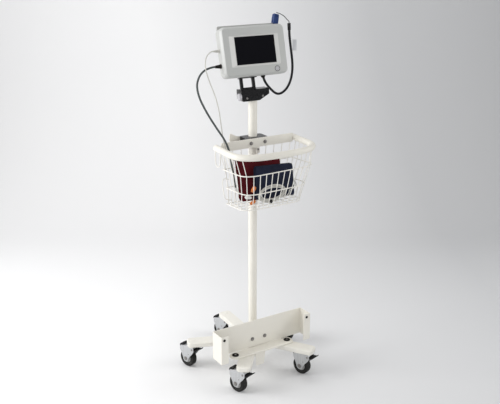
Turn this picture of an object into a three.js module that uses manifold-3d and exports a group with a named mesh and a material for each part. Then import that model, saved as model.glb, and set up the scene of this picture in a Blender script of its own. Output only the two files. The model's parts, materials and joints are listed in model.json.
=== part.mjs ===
// A bedside patient monitor on a roll stand, in millimetres, +Z up, floor at z = 0.
// The pole stands on a five-legged base on braked casters. A sheet-metal holder sits on the two front
// legs, a wire basket hangs half way up and the monitor tilts on a clamp at the top of the pole.
import * as THREE from "three";
import { mergeVertices } from "three/addons/utils/BufferGeometryUtils.js";
import Module from "manifold-3d";

const wasm = await Module();
wasm.setup();

// ---- driving dimensions ----
const gap = 0.3; // left wherever two pieces touch
const sheet = 2.5; // folded sheet metal

const wheelDiameter = 75;
const wheelWidth = 30;
const wheelTrail = 30; // from the swivel axis back to the axle
const casterTurn = 16; // degrees that every caster is turned at rest
const axleRadius = 4;
const stemRadius = 6;
const cheek = 2.6; // thickness of each fork cheek
const casterHeight = 102.5; // floor to the top of the fork

const legCount = 5;
const legPhase = 14; // degrees from +X to the first leg
const swivelCircle = 255; // radius from the pole to each swivel axis
const legWidth = 58;
const legHeight = 22;
const hubApothem = 50;
const legOverhang = 25; // from a swivel axis to the end of its leg
const legCorner = 15;

const poleRadius = 17.5;
const poleWall = 2;
const poleTop = 1160;

const holderWidth = 428;
const holderDepth = 69;
const holderHeight = 116;
const holderCentreX = -34;
const holderBackY = -97; // rear face of the holder's back plate
const flangeWidth = 32;
const holderBoltSpacing = 60;
const barLength = 300;
const barWidth = 48;
const barHeight = 8;
const tabOffset = -17; // of the bar's hanging tab, from the middle of the bar
const tabDrop = 62;
const padRadius = 14;
const padHeight = 2.6;

const rimHalfWidth = 173; // basket rim, to the tube's centre line
const rimTube = 12.5; // its radius
const rimHeight = 971;
const rimFront = -224;
const rimBulge = 9;
const rimCorner = 92;
const basketYaw = -3; // degrees that the rim is turned on the pole
const basketRoll = -2.2; // degrees that it leans, right side up
const basketDroop = 3.4; // degrees that its front hangs
const backPlateY = -43; // front face of the flat plate that closes the rim
const backPlateLift = 3; // its centre above the rim's
const backPlateThickness = 5;
const backPlateHeight = 35;
const basketFloor = 744;
const floorHalfWidth = 138;
const floorFront = -148;
const floorBack = -26;
const wire = 1.9; // wire radius
const basketClampWidth = 96;
const basketClampDepth = 61;
const basketClampHeight = 50;
const boltSpacing = 62;

const headYaw = -9.2; // degrees that the head is turned on the pole
const headRoll = -2.9; // degrees that the clamp leans, right side up
const tiltBack = 11.2; // degrees that the screen leans back
const pivotY = -12; // tilt axis, in the head's own frame
const pivotZ = 1178;
const clampWidth = 117;
const clampDepth = 50;
const clampHeight = 46;
const clampGrip = 16; // solid metal between the pole's end and the tilt axis
const knobRadius = 14.5;
const barrelRadius = 6.5;
const postXs = [-50, 0];
const postWidth = 12;
const postDepth = 8;

const panelWidth = 248;
const panelHeight = 173;
const shoulder = 7; // how far the case stands out beyond the panel on each side
const shoulderDepth = 12;
const bezelDepth = 17;
const caseDepth = 64; // panel face to the rear of the case
const caseWall = 3;
const screenWidth = 172.4;
const screenHeight = 108;
const screenBevelX = 14;
const screenBevelZ = 4;
const screenSet = 6; // how deep the screen lies behind the panel face
const screenLift = 137.8; // from the tilt axis up to the screen's centre
const screenForward = 55.8; // from the tilt axis forward to the panel face
const buttonX = 82.8;
const buttonZ = -74.5;
const buttonRadius = 8.2;
const buttonTravel = 1.2;
const ridgeHeight = 9; // rib along the top of the case, at the rear
const ridgeThickness = 6;
const ridgeHalfLength = 126;

const leadRadius = 2.1;
const hoseRadius = 3.8;
const cableRadius = 4.8;
const thinLeadRadius = 1.4;

const caseHalfWidth = panelWidth / 2 + shoulder;
const caseHalfHeight = panelHeight / 2 + shoulder;

// ---- materials ----
const paint = (color, roughness, metalness = 0) =>
  new THREE.MeshStandardMaterial({ color, roughness, metalness });
const cream = paint(0xf0ece0, 0.45);
const steel = paint(0xc6c8ca, 0.3, 0.9);
const chromeWire = paint(0xd4d2cc, 0.35, 0.6);
const tyreGrey = paint(0x2a2a2a, 0.7);
const black = paint(0x1b1b1c, 0.5);
const panelGrey = paint(0xc4c6c2, 0.45);
const shellGrey = paint(0x8c8d8b, 0.5);
const glass = paint(0x08080c, 0.1);
const silver = paint(0xc9c8cd, 0.35, 0.4);
const hoseGrey = paint(0x4b4e50, 0.6);
const leadGrey = paint(0xdcdcd8, 0.5);
const blue = paint(0x19327f, 0.45);
const burgundy = paint(0x69161f, 0.9);
const navy = paint(0x1e223c, 0.9);
const tagWhite = paint(0xe2e3e6, 0.4);
const boardGreen = paint(0x1f5a36, 0.6);

// ---- shape helpers ----
const rad = THREE.MathUtils.degToRad;

function toSolid(geometry) {
  const plain = geometry.clone();
  plain.deleteAttribute("normal");
  plain.deleteAttribute("uv");
  const merged = mergeVertices(plain, 1e-4);
  const vertProperties = new Float32Array(merged.attributes.position.array);
  const triVerts = new Uint32Array(merged.index.array);
  return new wasm.Manifold(new wasm.Mesh({ numProp: 3, vertProperties, triVerts }));
}

function toGeometry(solid) {
  const mesh = solid.getMesh();
  const geometry = new THREE.BufferGeometry();
  geometry.setAttribute("position", new THREE.BufferAttribute(mesh.vertProperties, 3));
  geometry.setIndex(new THREE.BufferAttribute(mesh.triVerts, 1));
  geometry.computeVertexNormals();
  return geometry;
}

function join(...shapes) {
  return toGeometry(shapes.map(toSolid).reduce((a, b) => a.add(b)));
}

function cut(shape, ...tools) {
  return toGeometry(tools.map(toSolid).reduce((a, b) => a.subtract(b), toSolid(shape)));
}

function common(a, b) {
  return toGeometry(toSolid(a).intersect(toSolid(b)));
}

// A box given by its lowest and highest corners.
function block(x0, x1, y0, y1, z0, z1) {
  const box = new THREE.BoxGeometry(x1 - x0, y1 - y0, z1 - z0);
  return box.translate((x0 + x1) / 2, (y0 + y1) / 2, (z0 + z1) / 2);
}

// A round bar from one point to another.
function rod(from, to, radius, sides = 12) {
  const a = new THREE.Vector3(...from);
  const b = new THREE.Vector3(...to);
  const length = a.distanceTo(b);
  const turn = new THREE.Quaternion().setFromUnitVectors(
    new THREE.Vector3(0, 1, 0), b.clone().sub(a).normalize());
  const middle = a.clone().add(b).multiplyScalar(0.5);
  return new THREE.CylinderGeometry(radius, radius, length, sides)
    .applyQuaternion(turn)
    .translate(middle.x, middle.y, middle.z);
}

// A turned piece about Z from [radius, z] pairs, closed on the axis or on itself.
function turned(profile, sides = 24) {
  const points = profile.map(([r, z]) => new THREE.Vector2(r, z));
  return new THREE.LatheGeometry(points, sides).rotateX(Math.PI / 2);
}

function roundedRect(width, height, radius) {
  const shape = new THREE.Shape();
  const [w, h] = [width / 2, height / 2];
  shape.moveTo(-w + radius, -h);
  shape.lineTo(w - radius, -h).absarc(w - radius, -h + radius, radius, -Math.PI / 2, 0);
  shape.lineTo(w, h - radius).absarc(w - radius, h - radius, radius, 0, Math.PI / 2);
  shape.lineTo(-w + radius, h).absarc(-w + radius, h - radius, radius, Math.PI / 2, Math.PI);
  shape.lineTo(-w, -h + radius).absarc(-w + radius, -h + radius, radius, Math.PI, 1.5 * Math.PI);
  return shape;
}

function polygon(points) {
  return new THREE.Shape(points.map(([x, y]) => new THREE.Vector2(x, y)));
}

// A plate whose outline is in the XY plane, from z0 up, with its edges softened by `soft`.
function slab(shape, z0, height, soft = 0, curveSegments = 5) {
  const bevel = {
    bevelEnabled: soft > 0, bevelThickness: soft, bevelSize: soft, bevelOffset: -soft, bevelSegments: 1,
  };
  return new THREE.ExtrudeGeometry(shape, { depth: height - 2 * soft, curveSegments, ...bevel })
    .translate(0, 0, z0 + soft);
}

// The same plate standing up: outline in XZ, from y0 back.
function upright(shape, y0, depth, soft = 0, curveSegments = 5) {
  return slab(shape, 0, depth, soft, curveSegments).rotateX(Math.PI / 2).translate(0, y0 + depth, 0);
}

// A side profile in YZ, from x0 to the right.
function sideways(shape, x0, width, soft = 0, curveSegments = 5) {
  return slab(shape, 0, width, soft, curveSegments)
    .rotateX(Math.PI / 2)
    .rotateZ(Math.PI / 2)
    .translate(x0, 0, 0);
}

// Part of a smooth curve, from t0 to t1 along its length.
class Stretch extends THREE.Curve {
  constructor(curve, t0, t1) {
    super();
    Object.assign(this, { curve, t0, t1 });
  }
  getPoint(t, target = new THREE.Vector3()) {
    return target.copy(this.curve.getPointAt(this.t0 + (this.t1 - this.t0) * t));
  }
}

// A round tube along a curve, with a step every `stride` millimetres.
function tubeAlong(curve, radius, sides = 8, stride = radius * 5) {
  const section = new THREE.Shape();
  section.absarc(0, 0, radius, 0, 2 * Math.PI);
  const steps = Math.max(2, Math.round(curve.getLength() / stride));
  return new THREE.ExtrudeGeometry(section, {
    extrudePath: curve, steps, curveSegments: sides, bevelEnabled: false,
  });
}

const smooth = (points) =>
  new THREE.CatmullRomCurve3(points.map((p) => new THREE.Vector3(...p)), false, "centripetal");

// ---- scene graph ----
const group = new THREE.Group();

function add(name, geometry, material, parent = group) {
  const mesh = new THREE.Mesh(geometry, material);
  mesh.name = name;
  parent.add(mesh);
  return mesh;
}

// ---- base ----
const legBottom = casterHeight + gap;
const legTop = legBottom + legHeight;
const hubBottom = legBottom - 3;
const hubTop = legTop + 3;
const legEnd = swivelCircle + legOverhang;
const collarRadius = poleRadius + 9;
const collarTop = hubTop + 34;

function hub() {
  const corner = hubApothem / Math.cos(Math.PI / legCount);
  const plate = new THREE.CylinderGeometry(corner, corner, hubTop - hubBottom, legCount)
    .rotateX(Math.PI / 2)
    .translate(0, 0, (hubTop + hubBottom) / 2);
  plate.rotateZ(rad(legPhase + 90 - 180 / legCount)); // its first corner is at -90, and a face meets each leg
  const collar = turned([[0, hubBottom], [collarRadius, hubBottom], [collarRadius, collarTop - 3],
    [collarRadius - 3, collarTop], [0, collarTop]]);
  const socket = rod([0, 0, hubBottom + 8], [0, 0, collarTop + 5], poleRadius + gap, 24);
  return cut(join(plate, collar), socket);
}

function leg() {
  const [half, r, x0] = [legWidth / 2, legCorner, hubApothem + gap];
  const outline = new THREE.Shape();
  outline.moveTo(x0, -half).lineTo(legEnd - r, -half).absarc(legEnd - r, -half + r, r, -Math.PI / 2, 0);
  outline.lineTo(legEnd, half - r).absarc(legEnd - r, half - r, r, 0, Math.PI / 2);
  outline.lineTo(x0, half);
  const body = slab(outline, legBottom, legHeight, 4, 4);
  const bore = rod([swivelCircle, 0, legBottom - 5], [swivelCircle, 0, legTop + 5], stemRadius + gap);
  return cut(body, bore);
}

// ---- casters ----
const wheelRadius = wheelDiameter / 2;
const slotHalf = wheelWidth / 2 + 1;
const forkHalf = slotHalf + cheek;
const forkTop = casterHeight;
const hoodInside = wheelDiameter + 3;
const pedalPin = [-8, forkTop - 14];
const pedalRoomTop = forkTop - 5;
const pedalPinRadius = 2.5;
const pedalBarrel = 6;

// A pressed hood over the wheel with a cheek on each side that narrows to the axle.
function fork() {
  const r = 15;
  const back = wheelTrail + wheelRadius - 4;
  const side = new THREE.Shape();
  side.moveTo(-18, forkTop - 4).lineTo(-15, forkTop).lineTo(20, forkTop).lineTo(30, forkTop - 5);
  side.lineTo(back - 8, forkTop - 11).lineTo(back, forkTop - 18).lineTo(back, hoodInside - 4);
  side.lineTo(wheelTrail + r, wheelRadius);
  side.absarc(wheelTrail, wheelRadius, r, 0, -Math.PI * 0.9, true);
  side.lineTo(-4, 62);
  side.lineTo(-18, 80);
  const body = sideways(side, -forkHalf, 2 * forkHalf);
  const wheelRoom = block(-slotHalf, slotHalf, -60, 120, 0, hoodInside);
  const pedalRoom = block(-slotHalf, slotHalf, -60, pedalPin[0] + 9, hoodInside - 1, pedalRoomTop);
  const stem = rod([0, 0, forkTop - 2], [0, 0, legTop + 1.5], stemRadius);
  const axleEnd = forkHalf + 2;
  const axle = rod([-axleEnd, wheelTrail, wheelRadius], [axleEnd, wheelTrail, wheelRadius], axleRadius);
  const pin = rod([-forkHalf - 1, ...pedalPin], [forkHalf + 1, ...pedalPin], pedalPinRadius, 8);
  return join(cut(body, wheelRoom, pedalRoom), stem, axle, pin);
}

function wheel() {
  const [r, w, bore] = [wheelRadius, wheelWidth / 2, axleRadius + gap];
  return turned([[bore, -w + 1], [r - 8, -w + 1], [r - 7, -w], [r - 3, -w], [r, -w + 4], [r, w - 4],
    [r - 3, w],
    [r - 7, w], [r - 8, w - 1], [bore, w - 1], [bore, -w + 1]], 24)
    .rotateY(Math.PI / 2)
    .translate(0, wheelTrail, wheelRadius);
}

function brakePedal() {
  const [y, z] = pedalPin;
  const inner = slotHalf - gap;
  const barrel = rod([-inner, y, z], [inner, y, z], pedalBarrel, 10);
  const arm = sideways(polygon([[y, z - 5], [y, z + 5], [y - 15, z + 4], [y - 15, z - 2]]),
    -inner, 2 * inner);
  const tread = sideways(polygon([[y - 13, z - 1], [y - 13, z + 4], [y - 22, z + 4], [y - 30, z + 11],
    [y - 33, z + 10], [y - 25, z]]), -forkHalf - 1, 2 * forkHalf + 2);
  const bore = rod([-40, y, z], [40, y, z], pedalPinRadius + gap, 8);
  return cut(join(barrel, arm, tread), bore);
}

function addBase() {
  add("base_hub", hub(), cream);
  for (let i = 0; i < legCount; i += 1) {
    const angle = rad(legPhase + (360 / legCount) * i);
    add(`leg_${i + 1}`, leg(), cream).rotation.z = angle;
    const caster = new THREE.Group();
    caster.rotation.z = rad(casterTurn);
    caster.position.set(swivelCircle * Math.cos(angle), swivelCircle * Math.sin(angle), 0);
    add(`caster_fork_${i + 1}`, fork(), steel, caster);
    add(`caster_wheel_${i + 1}`, wheel(), tyreGrey, caster);
    add(`brake_pedal_${i + 1}`, brakePedal(), black, caster);
    group.add(caster);
  }
}

function addPole() {
  const [outer, inner, foot] = [poleRadius, poleRadius - poleWall, hubBottom + 8 + gap];
  const tube = turned([[outer, foot], [outer, poleTop], [inner, poleTop], [inner, foot], [outer, foot]]);
  add("pole", tube, cream);
}

// ---- holder over the front legs ----
const barTop = legTop + gap + barHeight;
const holderBottom = barTop + gap;
const barY = holderBackY - sheet - gap - barWidth / 2;
const padXs = [-1, 1].map((side) => holderCentreX + side * (barLength / 2 - barWidth / 2));
const boltZ = holderBottom + 35;
const boltRadius = 4.5;

function holderBracket() {
  const [w, t, d, f] = [holderWidth / 2, sheet, holderDepth, flangeWidth];
  const outline = polygon([[-w, 0], [w, 0], [w, -d], [w - f, -d], [w - f, -d + t], [w - t, -d + t],
    [w - t, -t], [-w + t, -t], [-w + t, -d + t], [-w + f, -d + t], [-w + f, -d], [-w, -d]]);
  const body = slab(outline, holderBottom, holderHeight).translate(holderCentreX, holderBackY, 0);
  const holes = [-1, 1].map((side) => {
    const x = holderCentreX + (side * holderBoltSpacing) / 2;
    return rod([x, holderBackY - 10, boltZ], [x, holderBackY + 10, boltZ], boltRadius);
  });
  return cut(body, ...holes);
}

// An angle that ties the holder's back plate to the hub.
function holderStay() {
  const [t, y1] = [6, holderBackY + gap];
  const z0 = hubTop + gap;
  const profile = polygon([[y1, z0], [-collarRadius - 3, z0], [-collarRadius - 3, z0 + t], [y1 + t, z0 + t],
    [y1 + t, boltZ + 14], [y1, boltZ + 14]]);
  return sideways(profile, holderCentreX - 45, 90);
}

// A flat bar with round ends across the two front legs, and the tab that hangs from its middle.
function holderBar() {
  const shape = roundedRect(barLength, barWidth, barWidth / 2 - 2);
  const bar = slab(shape, legTop + gap, barHeight, 1.5, 6).translate(holderCentreX, barY, 0);
  const top = legTop + gap + barHeight / 2;
  const tab = upright(polygon([[-25, top], [25, top], [18, top - tabDrop], [-18, top - tabDrop]]),
    barY - 16, sheet)
    .translate(holderCentreX + tabOffset, 0, 0);
  return join(bar, tab);
}

function addHolder() {
  add("holder_bracket", holderBracket(), cream);
  add("holder_stay", holderStay(), cream);
  add("holder_bar", holderBar(), cream);
  ["left", "right"].forEach((side, i) => {
    const pad = turned([[0, 0], [padRadius, 0], [padRadius, padHeight - 1], [padRadius - 1, padHeight],
      [0, padHeight]], 20);
    add(`rubber_pad_${side}`, pad.translate(padXs[i], barY, holderBottom), black);
  });
}

// ---- basket ----
const rimUnder = 937; // where the wire panels stop, clear of the rim
const panelBackY = -34;
const panelBackTop = 934;
const panelFrontY = -206;
const panelHalfWidth = 155;

// The rim's centre line: two sides and a bulging front with round corners.
function rimCurve() {
  const path = new THREE.CurvePath();
  const v = (x, y) => new THREE.Vector3(x, y, 0);
  const y0 = backPlateY + backPlateThickness / 2;
  const [w, f, r] = [rimHalfWidth, rimFront, rimCorner];
  path.add(new THREE.LineCurve3(v(-w, y0), v(-w, f + r)));
  path.add(new THREE.QuadraticBezierCurve3(v(-w, f + r), v(-w, f + 12), v(-w + r, f)));
  path.add(new THREE.QuadraticBezierCurve3(v(-w + r, f), v(0, f - rimBulge), v(w - r, f)));
  path.add(new THREE.QuadraticBezierCurve3(v(w - r, f), v(w, f + 12), v(w, f + r)));
  path.add(new THREE.LineCurve3(v(w, f + r), v(w, y0)));
  return path;
}

const backPlateHalf = rimHalfWidth - rimTube - gap;

function backPlate() {
  const shape = roundedRect(2 * backPlateHalf, backPlateHeight, 3);
  const body = upright(shape, backPlateY, backPlateThickness).translate(0, 0, backPlateLift);
  const holes = [-1, 1].map((side) => {
    const x = (side * boltSpacing) / 2;
    return rod([x, backPlateY - 10, backPlateLift], [x, backPlateY + 10, backPlateLift], boltRadius, 12);
  });
  return cut(body, ...holes);
}

// A flat panel of welded wires between four corners, with its crosswise wires at the ring shares.
function wirePanel(topLeft, topRight, bottomLeft, bottomRight, bays) {
  const [a, b, c, d] = [topLeft, topRight, bottomRight, bottomLeft].map((p) => new THREE.Vector3(...p));
  const across = b.clone().sub(a).normalize();
  const normal = across.clone().cross(d.clone().sub(a)).normalize();
  const down = normal.clone().cross(across);
  const flat = (p) => new THREE.Vector2(p.clone().sub(a).dot(across), p.clone().sub(a).dot(down));
  const at = (u, v) => flat(a).lerp(flat(b), u).lerp(flat(d).lerp(flat(c), u), v);
  const frame = slab(new THREE.Shape([at(0, 0), at(1, 0), at(1, 1), at(0, 1)]), -wire, 2 * wire);
  const openings = [];
  const du = (2 * wire) / a.distanceTo(b);
  const dv = (2 * wire) / a.distanceTo(d);
  for (let i = 0; i < bays; i += 1) {
    const u0 = i / bays + du * (i === 0 ? 1 : 0.5);
    const u1 = (i + 1) / bays - du * (i === bays - 1 ? 1 : 0.5);
    for (let k = 0; k + 1 < ringShares.length; k += 1) {
      const v0 = ringShares[k] + dv * (k === 0 ? 1 : 0.5);
      const v1 = ringShares[k + 1] - dv * (k + 2 === ringShares.length ? 1 : 0.5);
      openings.push(slab(new THREE.Shape([at(u0, v0), at(u1, v0), at(u1, v1), at(u0, v1)]), -2 * wire,
        4 * wire));
    }
  }
  return cut(frame, ...openings).applyMatrix4(
    new THREE.Matrix4().makeBasis(across, down, normal).setPosition(a));
}

const ringShares = [0, 0.34, 0.67, 1];

function addBasket() {
  const frame = new THREE.Group(); // the rim, its plate and its clamp, all tilted as one
  frame.position.z = rimHeight;
  frame.rotation.set(rad(basketDroop), rad(basketRoll), rad(basketYaw), "ZYX");
  group.add(frame);
  frame.updateMatrixWorld(true);
  add("basket_rim", tubeAlong(rimCurve(), rimTube, 10, 34), cream, frame);
  add("basket_back_plate", backPlate(), cream, frame);
  const clampFront = backPlateY + backPlateThickness + gap;
  const clampShape = roundedRect(basketClampWidth, basketClampDepth, 8);
  const clampBlock = slab(clampShape, -30, basketClampHeight, 2)
    .translate(0, clampFront + basketClampDepth / 2, 0);
  const bore = rod([0, 0, 0], [0, 0, 2000], poleRadius + gap, 24)
    .applyMatrix4(frame.matrixWorld.clone().invert());
  add("basket_clamp", cut(clampBlock, bore), black, frame);

  const inset = 2 * wire + gap; // panels meet edge to edge without touching
  const w = floorHalfWidth;
  const [zt, zb] = [rimUnder, basketFloor];
  const [cornerX, cornerY] = [panelHalfWidth, panelFrontY];
  add("basket_wires_front", wirePanel([-cornerX + inset, cornerY, zt], [cornerX - inset, cornerY, zt],
    [-w + inset, floorFront, zb], [w - inset, floorFront, zb], 6), chromeWire);
  [["left", -1], ["right", 1]].forEach(([name, side]) => {
    const panel = wirePanel([side * cornerX, panelBackY - inset, zt],
      [side * cornerX, cornerY + inset, zt], [side * w, floorBack - inset, zb], [side * w,
        floorFront + inset, zb], 3);
    add(`basket_wires_${name}`, panel, chromeWire);
  });
  add("basket_wires_back", wirePanel([-cornerX + inset, panelBackY, panelBackTop],
    [cornerX - inset, panelBackY, panelBackTop], [-w + inset, floorBack, zb],
    [w - inset, floorBack, zb], 6), chromeWire);
  const fz = zb - 2 * wire - gap;
  add("basket_wires_floor", wirePanel([-w, floorBack, fz], [w, floorBack, fz],
    [-w, floorFront, fz], [w, floorFront, fz], 6), chromeWire);
}

// ---- what the basket holds ----
const coilCentre = [-4, -147, 790];
const coilOuter = 42;
const coilStretch = 1.75; // the coil is an oval, wider than it is tall
const coilThickness = 9; // radius of the bundle of turns

function addContents() {
  const cuff = (name, width, depth, height, place, turn, material) => {
    const body = slab(roundedRect(width, depth, depth / 2 - 1), -height / 2, height, 5, 3);
    const mesh = add(name, body, material);
    mesh.position.set(...place);
    mesh.rotation.set(...turn);
  };
  cuff("cuff_burgundy", 198, 28, 166, [-19, -76, 836], [0, rad(2.5), 0], burgundy);
  cuff("cuff_navy", 172, 28, 130, [30, -109, 828], [rad(-3), rad(1.5), 0], navy);
  const slope = Math.atan2(floorFront - panelFrontY, rimUnder - basketFloor);
  const ring = turned(Array.from({ length: 9 }, (_, i) => {
    const a = (2 * Math.PI * i) / 8;
    return [coilOuter - coilThickness + coilThickness * Math.cos(a), -coilThickness * Math.sin(a)];
  }).reverse(), 24);
  const coil = add("lead_coil", ring, leadGrey);
  coil.rotation.x = Math.PI / 2 + slope;
  coil.scale.x = coilStretch;
  coil.position.set(...coilCentre);
}

// ---- head: clamp, knob, tilting yoke and monitor ----
const yawGroup = new THREE.Group();
yawGroup.rotation.z = rad(headYaw);
const headGroup = new THREE.Group(); // leans with the clamp; its origin is on the tilt axis
headGroup.position.set(0, pivotY, pivotZ);
headGroup.rotation.y = rad(headRoll);
const tiltGroup = new THREE.Group();
tiltGroup.rotation.x = -rad(tiltBack);
const monitorGroup = new THREE.Group(); // origin at the middle of the screen, on the panel face
monitorGroup.position.set(0, -screenForward, screenLift);
group.add(yawGroup.add(headGroup.add(tiltGroup.add(monitorGroup))));

const tiltPinRadius = 2.6;
const pinProud = 1;
const postHalf = postWidth / 2;
const lugFrom = postXs[0] + postHalf + gap; // the clamp's lug fills the space between the posts
const lugTo = postXs[1] - postHalf - gap;
const alongX = (x0, x1, radius, sides = 20) => rod([x0, 0, 0], [x1, 0, 0], radius, sides);

function headClamp() {
  const [w, h] = [clampWidth / 2, clampHeight];
  const shape = polygon([[-w, -2], [w, -2], [w, -24], [18, -h], [-w + 7, -h], [-w, -h + 8]]);
  const y0 = -clampDepth / 2 - pivotY; // the block is centred on the pole, not on the tilt axis
  const body = upright(shape, y0, clampDepth, 1.5);
  const grooves = [alongX(-w - 5, lugFrom, barrelRadius + gap),
    alongX(lugTo, postXs[1] + postHalf + pinProud + 2, barrelRadius + gap)];
  const lug = join(alongX(lugFrom, lugTo, barrelRadius), block(lugFrom, lugTo, -barrelRadius,
    barrelRadius, -10, 0));
  const pinBore = alongX(lugFrom - 5, lugTo + 5, tiltPinRadius + gap, 16);
  const lean = new THREE.Euler(0, -rad(headRoll), 0);
  const bore = rod([0, -pivotY, -200], [0, -pivotY, -clampGrip], poleRadius + gap, 24)
    .applyMatrix4(new THREE.Matrix4().makeRotationFromEuler(lean));
  return cut(join(cut(body, ...grooves), lug), bore, pinBore);
}

function knob() {
  const [r, x] = [knobRadius, -clampWidth / 2 - gap];
  const grip = new THREE.Shape();
  const lobes = 8;
  for (let i = 0; i <= lobes * 3; i += 1) {
    const a = (2 * Math.PI * i) / (lobes * 3);
    const rr = r - (i % 3 === 0 ? 1.4 : 0);
    if (i === 0) grip.moveTo(rr, 0);
    else if (i < lobes * 3) grip.lineTo(rr * Math.cos(a), rr * Math.sin(a));
  }
  return slab(grip, 0, 11, 1).rotateY(-Math.PI / 2).translate(x, -pivotY - 19, -27);
}

// Two posts with round feet on the tilt pin, joined by the plate that carries the monitor.
function yoke() {
  const top = screenLift - caseHalfHeight - gap;
  const posts = postXs.map((x) => join(alongX(x - postHalf, x + postHalf, barrelRadius),
    block(x - postHalf, x + postHalf, -postDepth / 2, postDepth / 2, 0, top)));
  const plate = block(postXs[0] - postHalf - 4, postXs[1] + postHalf + 4, -17, 9, top - 3, top);
  return cut(join(plate, ...posts), alongX(-200, 200, tiltPinRadius + gap, 16));
}

function tiltPin() {
  return alongX(postXs[0] - postHalf - pinProud, postXs[1] + postHalf + pinProud, tiltPinRadius, 16);
}

// The monitor's outline grows from the panel to the case over the shoulder's depth.
function roundedBody(width, height, depth, radius, soft, softDepth) {
  const shape = roundedRect(width, height, radius);
  return new THREE.ExtrudeGeometry(shape, {
    depth: depth - 2 * softDepth, curveSegments: 4, bevelEnabled: true, bevelSegments: 2,
    bevelSize: soft, bevelThickness: softDepth,
  }).translate(0, 0, softDepth).rotateX(Math.PI / 2).translate(0, depth, 0);
}

function frontBezel() {
  const whole = roundedBody(panelWidth, panelHeight, 2 * bezelDepth + 10, 12, shoulder, shoulderDepth);
  const front = common(whole, block(-300, 300, -5, bezelDepth, -300, 300));
  const window = block(-0.5, 0.5, -1, bezelDepth + 5, -0.5, 0.5);
  const p = window.attributes.position;
  for (let i = 0; i < p.count; i += 1) {
    const atFront = p.getY(i) < 0;
    const scale = (screenSet + 1) / screenSet; // the funnel runs 1 mm out of the face
    const w = screenWidth + (atFront ? 2 * screenBevelX * scale : 0);
    const h = screenHeight + (atFront ? 2 * screenBevelZ * scale : 0);
    p.setXYZ(i, p.getX(i) * w, atFront ? -1 : screenSet, p.getZ(i) * h);
  }
  const pocket = block(-screenWidth / 2 - 5, screenWidth / 2 + 5, screenSet - 0.01, bezelDepth + 5,
    -screenHeight / 2 - 5, screenHeight / 2 + 5);
  const buttonHole = rod([buttonX, -5, buttonZ], [buttonX, bezelDepth + 5, buttonZ], buttonRadius + gap, 20);
  return cut(front, window, pocket, buttonHole);
}

function rearCase() {
  const whole = roundedBody(panelWidth, panelHeight, caseDepth, 12, shoulder, shoulderDepth);
  const y0 = bezelDepth + gap;
  const back = common(whole, block(-300, 300, y0, caseDepth + 5, -300, 300));
  const inner = roundedBody(panelWidth - 2 * caseWall, panelHeight - 2 * caseWall,
    caseDepth - 2 * caseWall, 10,
    shoulder, shoulderDepth).translate(0, caseWall, 0);
  const hollow = common(inner, block(-300, 300, y0 - 1, caseDepth, -300, 300));
  const ridge = upright(roundedRect(2 * ridgeHalfLength, 20, 3), caseDepth - 20, ridgeThickness)
    .translate(0, 0, caseHalfHeight + ridgeHeight - 10);
  return cut(join(back, ridge), hollow);
}

function addMonitor() {
  add("front_bezel", frontBezel(), panelGrey, monitorGroup);
  add("rear_case", rearCase(), shellGrey, monitorGroup);
  const [sw, sh] = [screenWidth / 2 + 5 - gap, screenHeight / 2 + 5 - gap];
  add("screen", block(-sw, sw, screenSet + gap, screenSet + 7, -sh, sh), glass, monitorGroup);
  const cap = turned([[0, 0], [buttonRadius - 1, 0], [buttonRadius, 1], [buttonRadius, 12], [0, 12]], 20)
    .rotateX(-Math.PI / 2)
    .translate(buttonX, -1.5, buttonZ);
  add("power_button", cap, silver, monitorGroup);
  add("main_board", block(-70, 100, 40, 42, -70, 60), boardGreen, monitorGroup);
  add("battery_pack", block(-112, -76, 22, 48, -60, 50), black, monitorGroup);
}

// ---- leads ----
// Everything below that leaves the monitor is placed in the world frame by its resting pose.
group.updateMatrixWorld(true);
const fromMonitor = (x, y, z) =>
  new THREE.Vector3(x, y, z).applyMatrix4(monitorGroup.matrixWorld).toArray();

const bootLength = 24;
const leadPort = [-caseHalfWidth, 33, 11]; // on the case's left side
const hosePort = [-caseHalfWidth, 33, -46];

function boot(port, base, tip) {
  const profile = [[0, 0], [base, 0], [base, 5], [tip, bootLength], [0, bootLength]];
  return turned(profile, 16).rotateY(-Math.PI / 2).translate(port[0] - gap, port[1], port[2]);
}

const pastBoot = (port, extra) => fromMonitor(port[0] - gap - bootLength - extra, port[1], port[2]);

const hoseRoute = [pastBoot(hosePort, gap), pastBoot(hosePort, 8), [-198, 9, 1257], [-217, 4, 1248],
  [-231, -1, 1237],
  [-242, -6, 1222], [-249, -11, 1204], [-250, -17, 1182], [-245, -24, 1155], [-234, -30, 1127], [-216,
    -38, 1090],
  [-190, -48, 1045], [-164, -60, 1000], [-151, -67, 965], [-145, -71, 930], [-139, -74, 890], [-133, -76,
    850],
  [-127, -77, 815]];
const leadRoute = [pastBoot(leadPort, gap), pastBoot(leadPort, 7), [-186, 18, 1309], [-197, 12, 1298],
  [-203, 7, 1283], [-205, 3, 1264], [-202, -3, 1240], [-194, -12, 1205], [-182, -26, 1160], [-174, -38, 1110],
  [-168, -44, 1050], [-159, -42, 1000], [-147, -46, 955], [-120, -45, 918], [-60, -43, 890], [0, -42, 872],
  [55, -43, 856], [100, -50, 842], [126, -68, 829], [132, -98, 815], [122, -128, 801], [98, -141, 794],
  [78, -145, 791]];
const cableRoute = [fromMonitor(35, 36, -caseHalfHeight - gap), fromMonitor(35, 36, -caseHalfHeight - 10),
  [66, 22, 1199], [71, 14, 1183], [79, 6, 1165], [91, -1, 1152], [106, -7, 1146], [124, -13, 1149], [142,
    -19, 1163],
  [155, -24, 1185], [163, -28, 1213], [166, -30, 1249], [162, -32, 1283], [155, -34, 1316], [149, -35, 1348],
  [144, -36, 1376], [143, -36, 1394]];

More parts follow.
